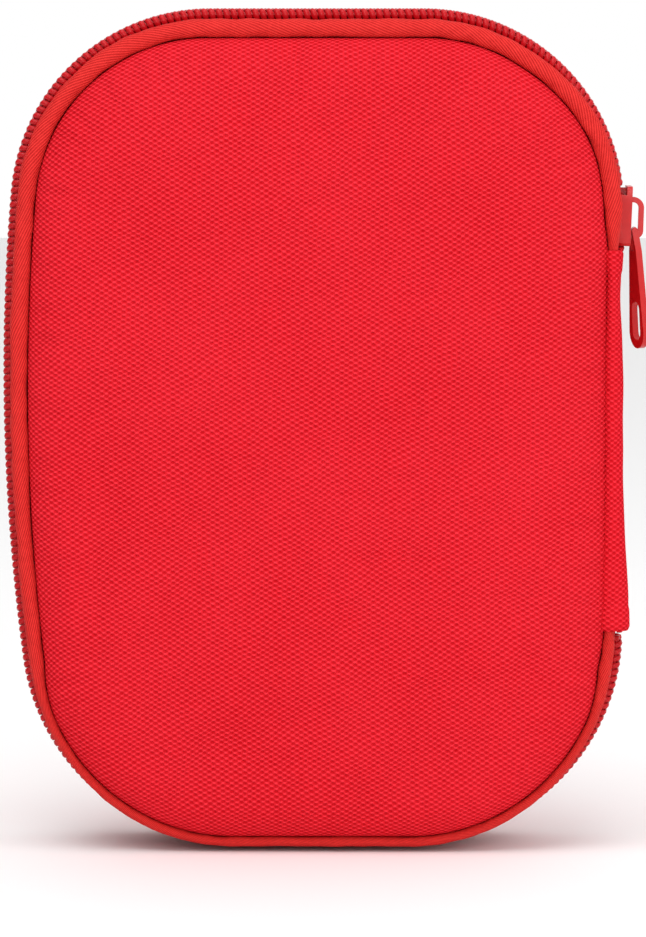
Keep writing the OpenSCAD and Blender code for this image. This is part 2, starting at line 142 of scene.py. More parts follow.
def drawn_out(inset, z, a, depth=20.0):
    """An inset with what lies beyond the piping's gap pressed towards the rim beside the spine strip, where
    the cover is pulled over its piping, to less than half its width, and round the lower edge to about half.
    Beside the slider the piping keeps its width and stands 1.1 mm further out."""
    beside = eased(z, 42, 30) * (0.4 + 0.6 * eased(z, -46, -30))
    share = 0.58 * np.clip(np.cos(a + math.radians(20)), 0, 1) * beside
    share = np.maximum(share, 0.48 * eased(-np.sin(a), -0.1, 0.45))
    shift = 1.1 * eased(z, 27, 42) * eased(a, math.radians(60), math.radians(15)) * (np.cos(a) > 0)
    beyond = np.clip(inset - PIPING_GAP, 0, 2 * PIPING_R + 0.05)
    return inset - beyond * share - shift * eased(np.abs(depth), 6, 10)


def settled(up):
    return SINK * np.clip(1 - (up - PIPING_GAP) / SETTLE, 0, 1) ** 2


def place(s, inset, depth):
    """Points at lengths s, an inset along the inward normal and a depth, with the edges away from the chain
    settled."""
    s, inset, depth = np.broadcast_arrays(*[np.asarray(v, float) for v in (s, inset, depth)])
    x, z, a = along_rim(s)
    inset = drawn_out(inset, z, a, depth)
    up = HALF_H + z - inset * np.sin(a)
    share = np.clip((np.abs(depth) - CHAIN_W / 2) / (TAPE_END - CHAIN_W / 2), 0, 1)
    return np.stack([x - inset * np.cos(a), depth, up - settled(up) * share], -1)


def ripple(count, seed, *lengths):
    """Smooth noise from -1 to 1 over places given as arrays: a mean of sines in random directions, one batch
    for each wave length."""
    draw = np.random.default_rng(seed)
    waves = [(2 * PI / length, draw.uniform(0, 2 * PI), draw.uniform(0, 2 * PI), draw.uniform(0.7, 1.3))
             for length in lengths for _ in range(count)]

    def value(u, v):
        total = sum(np.sin(k * f * (u * math.cos(t) + v * math.sin(t)) + p) for k, t, p, f in waves)
        return total / math.sqrt(len(waves))
    return value


# ---- Making meshes ----

FLIP_Y = np.array([1.0, -1.0, 1.0])


def part(points, around=(False, False), cloth=None, ends=None):
    """Corners and faces of a grid of points. around joins the last row or column to the first. ends closes
    the first and last row: "fan" to a middle point, "strip" between the two halves of the row. cloth holds
    each grid point's place on the flat cloth, in millimetres, with one more row or column where the grid goes
    around."""
    rows, columns = points.shape[:2]
    if cloth is None:
        cloth = np.zeros((rows + 1, columns + 1, 2))
    i, j = np.meshgrid(np.arange(rows - 1 + around[0]), np.arange(columns - 1 + around[1]), indexing="ij")
    steps = [(0, 0), (0, 1), (1, 1), (1, 0)]
    faces = np.stack([(i + a) % rows * columns + (j + b) % columns for a, b in steps], -1).reshape(-1, 4)
    flat = np.stack([cloth[i + a, j + b] for a, b in steps], 2).reshape(-1, 4, 2)
    corners_, faces, flat = [points.reshape(-1, 3)], [faces], [flat]
    last = (rows - 1) * columns
    if ends == "fan":
        k = np.arange(columns)
        for base, turn, row in ((0, 1, 0), (last, 0, rows - 1)):
            middle = rows * columns + (base > 0)
            pair = [base + (k + turn) % columns, base + (k + 1 - turn) % columns]
            faces.append(np.stack([np.full(columns, middle), *pair, np.full(columns, middle)], -1))
            spot = cloth[row, :columns]
            fan = np.stack([np.broadcast_to(spot.mean(0), spot.shape), spot[(k + turn) % columns],
                            spot[(k + 1 - turn) % columns], np.broadcast_to(spot.mean(0), spot.shape)], 1)
            flat.append(fan)
            corners_.append(points[row].mean(0)[None])
    if ends == "strip":
        k = np.arange(columns // 2 - 1)
        facing = columns - 1 - k
        first = np.stack([facing, facing - 1, k + 1, k], -1)
        for base, order, row in ((0, first, 0), (last, first[:, ::-1], rows - 1)):
            faces.append(base + order)
            flat.append(cloth[row][order])
    corners_, faces, flat = (np.concatenate(v) for v in (corners_, faces, flat))
    p = corners_[faces]
    volume = (p[:, 0] * (np.cross(p[:, 1], p[:, 2]) + np.cross(p[:, 2], p[:, 3]))).sum()
    if volume < 0:
        faces, flat = faces[:, ::-1], flat[:, ::-1]
    return corners_, faces, flat


def mirrored(parts):
    """The same parts for the other half of the case, turned right side out."""
    return [(corners_ * FLIP_Y, faces[:, ::-1], flat[:, ::-1]) for corners_, faces, flat in parts]


def on_side(side, made):
    """One part of the front half as a list, mirrored if it is for the rear half."""
    return [made] if side == "front" else mirrored([made])


def closed_sheet(outer, inner, flat):
    """Closed thin part between two grids of one shape, with the outer grid's places on the flat cloth."""
    flat = np.concatenate([flat, flat[:, ::-1], flat[:, :1]], 1)
    return part(np.concatenate([outer, inner[:, ::-1]], 1), (False, True), flat, "strip")


def piece(name, parts, finish, slot, body=None, covers=(), sharp=None):
    """Object made of parts in millimetres, with its finish, that rides on a body and stands for CAD nodes."""
    starts = np.cumsum([0] + [len(p[0]) for p in parts])
    faces = np.concatenate([p[1] + start for p, start in zip(parts, starts)])
    flat = np.concatenate([p[2] for p in parts])
    triangle = (faces[:, 0] == faces[:, 3]) | (faces[:, 2] == faces[:, 3])
    mesh = bpy.data.meshes.new(name)
    mesh.from_pydata((np.concatenate([p[0] for p in parts]) / 1000).tolist(), [],
                     [f[:3] if three else f for f, three in zip(faces.tolist(), triangle)])
    keep = np.ones((len(faces), 4), bool)
    keep[triangle, 3] = False
    mesh.uv_layers.new(name="cloth").data.foreach_set("uv", (flat[keep] / 1000).astype(np.float32).ravel())
    mesh.polygons.foreach_set("use_smooth", np.ones(len(faces), bool))
    if sharp:
        mesh.set_sharp_from_angle(angle=math.radians(sharp))
    made = bpy.data.objects.new(name, mesh)
    bpy.context.scene.collection.objects.link(made)
    mesh.materials.append(finish)
    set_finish(made, slot)
    if covers:
        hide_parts(*covers)
    if body:
        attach(made, body)
    return made


def refined(node, finish, body, width, segments=3, slot=None, shape_of=None):
    """Copy of a CAD node with its corners merged, its flat faces made whole and its edges rounded. shape_of
    moves its corners, given as an array in millimetres."""
    source = frame["nodes"][node]
    mesh = source.data.copy()
    shape = bmesh.new()
    shape.from_mesh(mesh)
    bmesh.ops.remove_doubles(shape, verts=shape.verts, dist=4e-6)
    bmesh.ops.dissolve_limit(shape, angle_limit=math.radians(1.5), verts=shape.verts, edges=shape.edges)
    if shape_of:
        spots = np.array([v.co for v in shape.verts]) * 1000
        for corner, spot in zip(shape.verts, shape_of(spots) / 1000):
            corner.co = spot
    shape.to_mesh(mesh)
    shape.free()
    mesh.name = node + "_shown"
    mesh.materials.clear()
    mesh.materials.append(finish)
    mesh.polygons.foreach_set("use_smooth", np.ones(len(mesh.polygons), bool))
    mesh.set_sharp_from_angle(angle=math.radians(40))
    made = bpy.data.objects.new(mesh.name, mesh)
    bpy.context.scene.collection.objects.link(made)
    edge = made.modifiers.new("rounded edges", "BEVEL")
    edge.width, edge.segments, edge.limit_method = width / 1000, segments, "ANGLE"
    edge.angle_limit = math.radians(28)
    edge.use_clamp_overlap = True
    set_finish(made, slot or source.get("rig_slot", "steel"))
    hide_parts(node)
    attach(made, body)
    return made


# ---- Finishes ----


def finish(name, **sockets):
    """New finish whose words set the shader's own sockets."""
    made = bpy.data.materials.new(name)
    made.use_nodes = True
    shader = made.node_tree.nodes["Principled BSDF"]
    for key, value in sockets.items():
        shader.inputs[key.replace("_", " ")].default_value = value
    return made


def node(made, kind, *values, **settings):
    """Node of a finish, with its first inputs set to values or joined to other nodes' outputs."""
    new = made.node_tree.nodes.new(kind)
    for key, value in settings.items():
        setattr(new, key, value)
    for socket, value in zip(new.inputs, values):
        if isinstance(value, bpy.types.NodeSocket):
            made.node_tree.links.new(value, socket)
        elif value is not None:
            socket.default_value = value
    return new


def calc(made, operation, *values):
    """Result of a calculation on numbers or outputs."""
    return node(made, "ShaderNodeMath", *values, operation=operation).outputs[0]


def into(made, output, socket):
    made.node_tree.links.new(output, made.node_tree.nodes["Principled BSDF"].inputs[socket])


def cloth_place(made):
    """Across and along on the flat cloth, in metres."""
    uv = node(made, "ShaderNodeUVMap", uv_map="cloth")
    split = node(made, "ShaderNodeSeparateXYZ", uv.outputs[0])
    return uv.outputs[0], split.outputs[0], split.outputs[1]


def solid_place(made):
    """Place on the object and its three parts, in metres."""
    where = node(made, "ShaderNodeTexCoord").outputs["Object"]
    split = node(made, "ShaderNodeSeparateXYZ", where)
    return (where, *split.outputs)


def speckle(made, where, size, detail=2.0, rough=0.5):
    """Noise from 0 to 1 with spots of about that size in millimetres."""
    new = node(made, "ShaderNodeTexNoise", where)
    new.inputs["Scale"].default_value = 1000 / size
    new.inputs["Detail"].default_value = detail
    new.inputs["Roughness"].default_value = rough
    return new.outputs["Fac"]


def tint(made, factor, low, high):
    """Colour between two by a factor from 0 to 1."""
    ramp = node(made, "ShaderNodeValToRGB", factor)
    ramp.color_ramp.elements[0].color = (*low, 1)
    ramp.color_ramp.elements[1].color = (*high, 1)
    return ramp.outputs["Color"]


def relief(made, height, depth, strength=1.0):
    """Bump of that depth in millimetres from a height of 0 to 1."""
    new = node(made, "ShaderNodeBump")
    new.inputs["Strength"].default_value = strength
    new.inputs["Distance"].default_value = depth / 1000
    made.node_tree.links.new(height, new.inputs["Height"])
    into(made, new.outputs[0], "Normal")


def waves(made, place_, pitch):
    """Sine of a place with half a wave for each pitch in millimetres."""
    return calc(made, "SINE", calc(made, "MULTIPLY", place_, PI * 1000 / pitch))


def woven(made, across, along, pitch_across, pitch_along, where, wander=0.06):
    """Plain weave from 0, thread below, to 1, thread above: the product of a sine across and one along, on
    places that wander a little."""
    shift = calc(made, "MULTIPLY", calc(made, "SUBTRACT", speckle(made, where, 9.0), 0.5), wander * 20 / 1000)
    u, v = calc(made, "ADD", across, shift), calc(made, "SUBTRACT", along, shift)
    over = calc(made, "MULTIPLY", waves(made, u, pitch_across), waves(made, v, pitch_along))
    return calc(made, "MULTIPLY_ADD", over, 0.5, 0.5)


def canvas_finish(name, low, high, pitch=(0.81, 0.48), depth=0.14):
    """Coarse plain-weave canvas with uneven threads. Its colour carries painted light: lighter where a thread
    lies above, a painted highlight, and darker between the threads, painted shade.
    """
    made = finish(name, Roughness=0.85, Specular_IOR_Level=0.01)
    where, across, along = cloth_place(made)
    over = woven(made, across, along, *pitch, where)
    slub = speckle(made, where, 1.1, 3.0, 0.6)
    cloud = speckle(made, where, 26.0, 2.0)
    # painted highlight on the raised threads and painted shade between them come from the weave term; the
    # slub and cloud terms add the threads' own uneven tone
    shade = calc(made, "ADD", calc(made, "MULTIPLY", calc(made, "POWER", over, 2.0), 1.0),
                 calc(made, "MULTIPLY", slub, 0.36))
    shade = calc(made, "ADD", shade, calc(made, "MULTIPLY", calc(made, "SUBTRACT", cloud, 0.5), 0.2))
    into(made, tint(made, shade, low, high), "Base Color")
    relief(made, calc(made, "ADD", over, calc(made, "MULTIPLY", slub, 0.5)), depth)
    return made


def ribbed_finish(name, low, high, pitch, depth, slope=(1.0, 0.0), roughness=0.75, cross=0.0):
    """Narrow woven tape: ridges where slope times the place is whole, slanted for a twill, with uneven
    threads. Its colour carries painted light: lighter on the ridges, a painted highlight, and darker in the
    grooves between them, painted shade."""
    made = finish(name, Roughness=roughness, Specular_IOR_Level=0.08)
    where, across, along = cloth_place(made)
    line = calc(made, "ADD", calc(made, "MULTIPLY", across, slope[0]),
                calc(made, "MULTIPLY", along, slope[1]))
    ridge = calc(made, "MULTIPLY_ADD", waves(made, line, pitch / 2), 0.5, 0.5)
    if cross:
        ridge = calc(made, "MULTIPLY", ridge, calc(made, "MULTIPLY_ADD", waves(made, along, cross), 0.5, 0.5))
    slub = speckle(made, where, 1.3, 3.0, 0.6)
    # painted highlight on the ridges and painted shade in the grooves come from the ridge term; the slub term
    # adds the threads' own uneven tone
    shade = calc(made, "ADD", calc(made, "MULTIPLY", ridge, 0.55), calc(made, "MULTIPLY", slub, 0.45))
    into(made, tint(made, shade, low, high), "Base Color")
    relief(made, calc(made, "ADD", ridge, calc(made, "MULTIPLY", slub, 0.4)), depth)
    return made


def moulded_finish(name, low, high, roughness, size=3.0, depth=0.02, **sockets):
    """Smooth solid with faint clouds in its colour and a very fine uneven surface."""
    made = finish(name, Roughness=roughness, **sockets)
    where = solid_place(made)[0]
    into(made, tint(made, speckle(made, where, size, 3.0, 0.6), low, high), "Base Color")
    relief(made, speckle(made, where, 0.35, 2.0), depth, 0.6)
    return made


def netting_finish(name):
    """Open net: black threads round rows of holes set half a step apart. A hole is where the product of two
    slanted sines is high."""
    made = finish(name, Roughness=0.7, Specular_IOR_Level=0.3)
    where, across, along = cloth_place(made)
    hole = calc(made, "MULTIPLY", waves(made, across, 0.95), waves(made, along, 0.8))
    solid = calc(made, "LESS_THAN", calc(made, "ABSOLUTE", hole), 0.34)
    shade = tint(made, speckle(made, where, 1.0), (0.012, 0.012, 0.014), (0.05, 0.05, 0.055))
    into(made, shade, "Base Color")
    into(made, solid, "Alpha")
    return made


# In the canvas and tape finishes, the low colour is the painted shade between threads or ribs and the high
# colour the painted highlight on them
canvas = canvas_finish("red canvas", (0.47, 0.0002, 0.0025), (0.94, 0.036, 0.057), depth=0.36)
strip_canvas = canvas_finish("red spine canvas", (0.47, 0.0002, 0.0025), (0.91, 0.030, 0.049), depth=0.3)
piping_cloth = ribbed_finish("orange-red bias tape", (0.34, 0.003, 0.004), (0.88, 0.046, 0.040), 0.5, 0.09,
                             (0.42, 0.9))
tape_cloth = ribbed_finish("dark red zip tape", (0.32, 0.001, 0.003), (0.56, 0.008, 0.013), 0.9, 0.05)
coil_nylon = moulded_finish("dark red nylon coil", (0.44, 0.003, 0.007), (0.58, 0.008, 0.014), 0.32,
                            Specular_IOR_Level=0.22)
slider_paint = moulded_finish("painted slider", (0.46, 0.006, 0.008), (0.60, 0.014, 0.014), 0.3, 1.6, 0.012,
                              Coat_Weight=0.1, Coat_Roughness=0.18, Specular_IOR_Level=0.3)
lining_cloth = canvas_finish("grey lining", (0.075, 0.075, 0.082), (0.22, 0.22, 0.23), (0.36, 0.36), 0.05)
binding_cloth = ribbed_finish("dark red seam binding", (0.22, 0.001, 0.003), (0.46, 0.008, 0.012), 1.1, 0.06)
elastic_cloth = ribbed_finish("black elastic", (0.010, 0.010, 0.011), (0.055, 0.055, 0.058), 1.2, 0.12)
netting = netting_finish("black netting")


# ---- Outside of the case ----

PANEL_REACH = 30.0       # width over which the insets stay true to the edge, inside the corners' radius
PANEL_ROLL = 7.0


def panel_places(stations, insets, scales):
    """Flat places on a half's panel, one row for each inset from the seam and then one for each scale about
    the middle: length along the rim, across and up from the case's middle, and how far in from the seam."""
    s = np.linspace(0, AROUND, stations, endpoint=False)
    x, z, a = along_rim(s)
    insets = np.asarray(insets)[:, None]
    edge = drawn_out(np.full_like(a, SEAM_INSET), z, a)
    true = insets + edge + (SEAM_INSET - edge) * np.clip(insets / PANEL_REACH, 0, 1)
    rows_x = x - true * np.cos(a)
    rows_z = z - true * np.sin(a)
    scales = np.asarray(scales)[:, None]
    rows_x = np.concatenate([rows_x, MIDDLE_X + (rows_x[-1] - MIDDLE_X) * scales])
    rows_z = np.concatenate([rows_z, rows_z[-1] * scales])
    deep = np.concatenate([insets + 0 * x, insets[-1] + (1 - scales) * 20 + 0 * x])
    return s, a, rows_x, rows_z, deep


def panel_height(x, z, deep):
    """Height of a cover above its seam: a tight quarter-ellipse roll at the edge, a shallow rise over the
    next 30 mm and a slight crown over the whole."""
    roll = 3.5 * np.sqrt(np.clip(1 - np.clip(1 - deep / PANEL_ROLL, 0, 1) ** 2, 0, 1))
    rise = 3.5 * (1 - np.clip(1 - deep / PANEL_REACH, 0, 1) ** 2)
    oval = 1 - ((x - MIDDLE_X) / (SPINE_X - MIDDLE_X)) ** 2 - (z / HALF_H) ** 2
    return roll + rise + 0.9 * np.clip(oval, 0, 1) ** 1.5


def hollows(x, z, spots):
    """Soft dents, each (across, up, half length, half width, lean in degrees, depth), of Gaussian section."""
    total = 0
    for cx, cz, length, width, lean, depth in spots:
        c, s = math.cos(math.radians(lean)), math.sin(math.radians(lean))
        u, v = ((x - cx) * c + (z - cz) * s) / length, ((z - cz) * c - (x - cx) * s) / width
        total = total + depth * np.exp(-u * u - v * v)
    return total


FRONT_DENTS = [(-30, -42, 16, 4.5, 62, 0.75), (-40, -18, 18, 3.5, 80, 0.45), (-16, -56, 15, 4.0, 20, 0.5),
               (34, -30, 14, 4.5, 105, 0.4), (-34, 32, 15, 5.0, 110, 0.35), (14, 55, 18, 5.0, 170, 0.3),
               (4, -10, 26, 14, 60, 0.35)]
REAR_DENTS = [(24, 30, 18, 6, 120, 0.6), (-28, -34, 16, 5, 50, 0.5), (10, -50, 20, 6, 10, 0.5),
              (-30, 40, 14, 6, 100, 0.4)]


def cover_pad(side, dents, seed):
    """Cover and foam of one half as a closed pad: the crowned outside from its middle to the seam, then the
    back of the foam. Puckers near the seam fade inwards."""
    insets = PANEL_REACH * np.linspace(0, 1, 44) ** 1.7
    scales = np.linspace(1, 0.03, 34)[1:]
    s, a, x, z, deep = panel_places(560, insets, scales)
    height = panel_height(x, z, deep)
    fine, broad = ripple(5, seed, 8.0, 13.0), ripple(4, seed + 1, 42.0, 60.0)
    edge_fold = ripple(4, seed + 2, 5.5, 9.0)(s[None, :] + 0 * x, 0 * x)
    fade = np.exp(-((deep - 2.5) / 4.0) ** 2) * np.clip(deep / 1.5, 0, 1)
    height = height + 0.24 * edge_fold * fade
    inland = np.clip(deep / 9.0, 0, 1)
    height = height + inland * (0.06 * fine(x, z) + 0.2 * broad(x, z)) - 1.35 * inland * hollows(x, z, dents)
    run = np.concatenate([[0], np.cumsum(np.hypot(np.diff(insets), np.diff(height[:44].mean(1))))])
    spare = np.concatenate([(run[-1] - run) - (insets[-1] - insets), np.zeros(len(scales))])[:, None]
    flat = np.stack([x + spare * np.cos(a), z + spare * np.sin(a)], -1)
    front = np.stack([x, -EDGE_Y - height, HALF_H + z], -1)
    front[..., 2] -= settled(front[..., 2])
    back_in = np.array([1.2, 3.5, 5.0, 8.0, 13.0, 20.0, 28.0])
    _, _, bx, bz, bd = panel_places(560, back_in, [0.7, 0.35, 0.05])
    rise = np.sqrt(np.clip(1 - np.clip((SHOULDER - bd) / (SHOULDER - 3.5), 0, 1) ** 2, 0, 1))
    back = np.stack([bx, -EDGE_Y - 0.03 - (CROWN - 3.5) * rise, HALF_H + bz], -1)
    back[..., 2] -= settled(back[..., 2])
    points = np.concatenate([front[::-1], back])
    flat = np.concatenate([flat[::-1], np.stack([bx, bz], -1)])
    flat = np.concatenate([flat, flat[:, :1]], 1)
    parts = on_side(side, part(points, (False, True), flat, "fan"))
    made = piece(f"{side}_cover_pad", parts, canvas, "canvas", side, (f"{side}_cover", f"{side}_foam"))
    return made


def under_strip(up, margin=2.5):
    """From 0, clear of the spine strip, to 1, well under it, at a height in millimetres."""
    low = np.clip((up - STRIP_FOOT) / margin, 0, 1)
    high = np.clip((STRIP_TOP - up) / margin, 0, 1)
    t = np.minimum(low, high)
    return t * t * (3 - 2 * t)


def piping(side, seed):
    """Covered cord round a half: a circle carried round the rim, with small slanting puckers in its radius,
    pressed thinner under the spine strip."""
    s = np.linspace(0, AROUND, 1150, endpoint=False)[:, None]
    turn = np.linspace(0, 2 * PI, 20, endpoint=False)[None, :]
    x, z, _ = along_rim(s)
    pressed = under_strip(HALF_H + z) * (x > SPINE_X - 1)
    pucker = ripple(5, seed, 3.4, 5.0, 8.0)(s, turn * 3.0)
    pucker = pucker + 0.8 * ripple(3, seed + 1, 16.0, 30.0)(s, 0 * turn)
    radius = (PIPING_R - 0.04) * (1 + 0.042 * pucker) * (1 - 0.15 * pressed)
    inset = PIPING_INSET + 0.3 * pressed - radius * np.cos(turn)
    depth = -EDGE_Y - radius * np.sin(turn)
    points = place(s + 0 * turn, inset, depth)
    lengths = np.linspace(0, AROUND, 1151)[:, None] + np.zeros((1, 21))
    girth = np.linspace(0, 2 * PI * PIPING_R, 21)[None, :] + np.zeros((1151, 1))
    parts = on_side(side, part(points, (True, True), np.stack([lengths, girth], -1)))
    return piece(f"{side}_piping_shown", parts, piping_cloth, "piping_tape", side,
                 (f"{side}_piping", f"{side}_piping_cord"))


def tape_wall(start, end, count):
    """Front half of the zip tape between two lengths along the rim: a strip from the chain's middle gap to
    beside the piping, whose edge turns in under the piping to the seam binding."""
    depth = np.array([CHAIN_GAP / 2, 1.5, CHAIN_W / 2, 4.5, 6, 7.5, 9, 10.2, 10.55, 10.66, 10.7])
    inset = np.array([0, 0, 0, 0.02, 0.05, 0.05, 0.03, 0.03, 0.3, 1.4, 3.7])
    s = np.linspace(start, end, count)[:, None]
    outer = place(s, TAPE_INSET + inset, -depth)
    lower = np.where(depth > 10.3, 0, TAPE_T)
    inner = place(s, TAPE_INSET + inset + lower, -(depth - np.where(depth > 10.3, 0.5, 0)))
    return [closed_sheet(outer, inner, np.stack([s + 0 * depth, depth + 0 * s], -1))]


def coil(start, end, shift):
    """One half of the chain: a wire wound in flat loops at a pitch of 1.34 mm about a cord, both along the
    rim. The wire's centre is (inset, depth) = (middle - a sin turn, middle + b cos turn)."""
    pitch, wound, sides = 1.34, 12, 6
    turns = int((end - start) / pitch)
    turn = np.linspace(0, 2 * PI * turns, turns * wound + 1)
    s = start + (end - start) * (turn / (2 * PI) + shift) / (turns + 0.5)
    half_t, half_w = CHAIN_T / 2 - 0.34, (CHAIN_W / 2 - 0.45) / 2 - 0.32
    middle_y = (CHAIN_W / 2 + 0.45) / 2
    power = 0.75

    def loop(t):
        c, q = np.cos(t), np.sin(t)
        return (CHAIN_T / 2 - half_t * np.sign(q) * np.abs(q) ** power,
                middle_y + half_w * np.sign(c) * np.abs(c) ** power)
    inset, depth = loop(turn)
    ahead, behind = loop(turn + 0.05), loop(turn - 0.05)
    out_i, out_d = ahead[1] - behind[1], -(ahead[0] - behind[0])
    size = np.hypot(out_i, out_d)
    out_i, out_d = out_i / size, out_d / size
    around = np.linspace(0, 2 * PI, sides, endpoint=False)[None, :]
    ss = s[:, None] + 0.60 * np.sin(around)
    ii = inset[:, None] + 0.33 * np.cos(around) * out_i[:, None]
    dd = depth[:, None] + 0.33 * np.cos(around) * out_d[:, None]
    wire = part(place(ss, ii, -dd), (False, True), None, "fan")
    s2 = np.linspace(start + 0.3, end - 0.3, max(int((end - start) / 1.2), 3))[:, None]
    t2 = np.linspace(0, 2 * PI, 8, endpoint=False)[None, :]
    cord = part(place(s2 + 0 * t2, CHAIN_T / 2 + 0.62 * np.cos(t2), -(middle_y + 0.75 * np.sin(t2))),
                (False, True), None, "fan")
    return [wire, cord]


def strip_section(up):
    """Outer face of the spine strip's front half at heights up, from the seam round the piping to the middle
    of the spine: part of an ellipse and then a straight, as (across, depth) rows. Its lower end flares."""
    reach = STRIP_X + 0.75 + 1.05 * np.exp(-((up - STRIP_FOOT) / 17.0) ** 2) - 0.75 * np.exp(
        -((STRIP_TOP - 8 - up) / 9.0) ** 2)
    share = np.clip((up - STRIP_FOOT) / (STRIP_TOP - STRIP_FOOT), 0, 1)
    reach = (reach - 0.25 * np.sin(share * PI))[:, None]
    centre_x, centre_y = SPINE_X - 2.75, -EDGE_Y + 1.2
    turn = np.radians(np.linspace(-150, 0, 22))[None, :]
    x = centre_x + (reach - centre_x) * np.cos(turn) * np.where(np.cos(turn) < 0, 0.75, 1)
    y = centre_y + 3.5 * np.sin(turn)
    rest = np.linspace(0, 1, 12)[None, 1:]
    x = np.concatenate([x, reach + 0 * rest], 1)
    y = np.concatenate([y + 0 * reach, centre_y * (1 - rest) + 0 * reach], 1)
    return x, y


def spine_half(side, seed):
    """Half of the spine strip: a sheet 0.9 mm thick from the seam over the piping to the spine's middle, its
    ends turned under as a hem twice as thick, with two rows of stitches drawn in."""
    rows = 96
    up = STRIP_FOOT + (STRIP_TOP - STRIP_FOOT) * np.linspace(0, 1, rows)
    x, y = strip_section(up)
    dx, dy = np.gradient(x, axis=1), np.gradient(y, axis=1)
    size = np.hypot(dx, dy)
    out_x, out_y = dy / size, -dx / size
    from_end = np.minimum(up - STRIP_FOOT, STRIP_TOP - up)[:, None]
    hem = 0.10 * np.clip((5.0 - from_end) / 0.6, 0, 1) - 0.16 * np.exp(-((from_end - 4.6) / 0.45) ** 2)
    round_off = -0.35 * np.clip(1 - from_end / 0.5, 0, 1) ** 2
    drawn = 0.05 * ripple(4, seed, 9.0, 22.0)(up[:, None] + 0 * x, np.cumsum(size, 1))
    lift = hem + round_off + drawn - 0.1
    outer = np.stack([x + out_x * lift, y + out_y * lift, up[:, None] + 0 * x], -1)
    thick = 0.75
    inner = np.stack([x + out_x * (round_off * -0.3 - thick), y + out_y * (round_off * -0.3 - thick),
                      up[:, None] + 0 * x], -1)
    run = np.cumsum(size, 1)
    parts = on_side(side, closed_sheet(outer, inner, np.stack([run, up[:, None] + 0 * x], -1)))
    made = piece(f"{side}_spine_strip", parts, strip_canvas, "canvas", None,
                 (f"{side}_spine_fold",) + (("spine_panel",) if side == "front" else ()))
    if side == "front":
        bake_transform(made)
    else:
        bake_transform(made)
    return made


for _side, _dents, _seed in (("front", FRONT_DENTS, 11), ("rear", REAR_DENTS, 51)):
    cover_pad(_side, _dents, _seed)
    piping(_side, _seed + 5)
    _tape = on_side(_side, tape_wall(CHAIN_START, CHAIN_END, 420)[0])
    piece(f"{_side}_tape_shown", _tape, tape_cloth, "zip_tape", _side, (f"{_side}_zip_tape",))
    _chain = coil(CHAIN_START, CHAIN_END, 0.0 if _side == "front" else 0.5)
    _chain = _chain if _side == "front" else mirrored(_chain)
    piece(f"{_side}_coil_shown", _chain, coil_nylon, "zip_coil", _side, (f"{_side}_zip_coil",))
    spine_half(_side, _seed + 9)

_tape = corners("zip_top_tape")
_foot = corners("zip_bottom_tape")
_s0, _s1 = _tape[0][2] - FOOT_R, CHAIN_START - 2 * CORNER_R * END_ANGLE
_ends = tape_wall(_s0, _s1, 24)
piece("zip_top_tape_shown", _ends + mirrored(_ends), tape_cloth, "zip_tape", "spine", ("zip_top_tape",))
_ends = tape_wall(0, _foot[1][2] - FOOT_R, 10)
piece("zip_foot_tape_shown", _ends + mirrored(_ends), tape_cloth, "zip_tape", "spine", ("zip_bottom_tape",))
slider = refined("slider_body", slider_paint, "slider", 0.22, slot="slider_paint")


def hanging(spots):
    """The pull tab swung 3 degrees out on its crossbar and turned about its length, by up to 22 degrees 6 mm
    below the crossbar."""
    pivot = np.array([j["pos_m"] for j in frame["joints"] if j["name"] == "pull_swing"][0]) * 1000
    x, y, z = (spots - pivot).T
    turn = math.radians(22) * np.clip((-z - 0.8) / 5.0, 0, 1)
    x, y = x * np.cos(turn) - y * np.sin(turn), x * np.sin(turn) + y * np.cos(turn)
    lean = math.radians(3)
    x, z = x * math.cos(lean) - z * math.sin(lean), z * math.cos(lean) + x * math.sin(lean)
    return np.stack([x, y, z], -1) + pivot


pull = refined("pull_tab", slider_paint, "pull", 0.22, slot="slider_paint", shape_of=hanging)

# ---- Inside of the case ----


def printed_finish(name, ground, band, low, high, axis=2, roughness=0.45):
    """Coated card or paper of one colour with a plain band of another between two places along an axis."""
    made = finish(name, Roughness=roughness, Specular_IOR_Level=0.4)
    place_ = solid_place(made)
    inside = calc(made, "MULTIPLY", calc(made, "GREATER_THAN", place_[axis + 1], low / 1000),
                  calc(made, "LESS_THAN", place_[axis + 1], high / 1000))
    mixed = node(made, "ShaderNodeMix", data_type="RGBA")
    made.node_tree.links.new(inside, mixed.inputs["Factor"])
    fibre = tint(made, speckle(made, place_[0], 2.5, 3.0, 0.6), [c * 0.93 for c in ground], ground)
    made.node_tree.links.new(fibre, mixed.inputs["A"])
    mixed.inputs["B"].default_value = (*band, 1)
    into(made, mixed.outputs["Result"], "Base Color")
    relief(made, speckle(made, place_[0], 0.5, 2.0), 0.015, 0.6)
    return made


def brushed_finish(name):
    """Brushed steel: long fine scratches across and a soft cloud in how dull it is."""
    made = finish(name, Metallic=1.0, Roughness=0.3)
    where = solid_place(made)[0]
    stretched = node(made, "ShaderNodeMapping", where)
    stretched.inputs["Scale"].default_value = (0.12, 1, 1)
    scratch = speckle(made, stretched.outputs[0], 0.22, 3.0, 0.7)
    into(made, tint(made, scratch, (0.56, 0.56, 0.57), (0.74, 0.74, 0.75)), "Base Color")
    dull = node(made, "ShaderNodeMapRange", speckle(made, where, 5.0))
    dull.inputs["To Min"].default_value, dull.inputs["To Max"].default_value = 0.22, 0.4
    into(made, dull.outputs[0], "Roughness")
    relief(made, scratch, 0.006, 0.5)
    return made


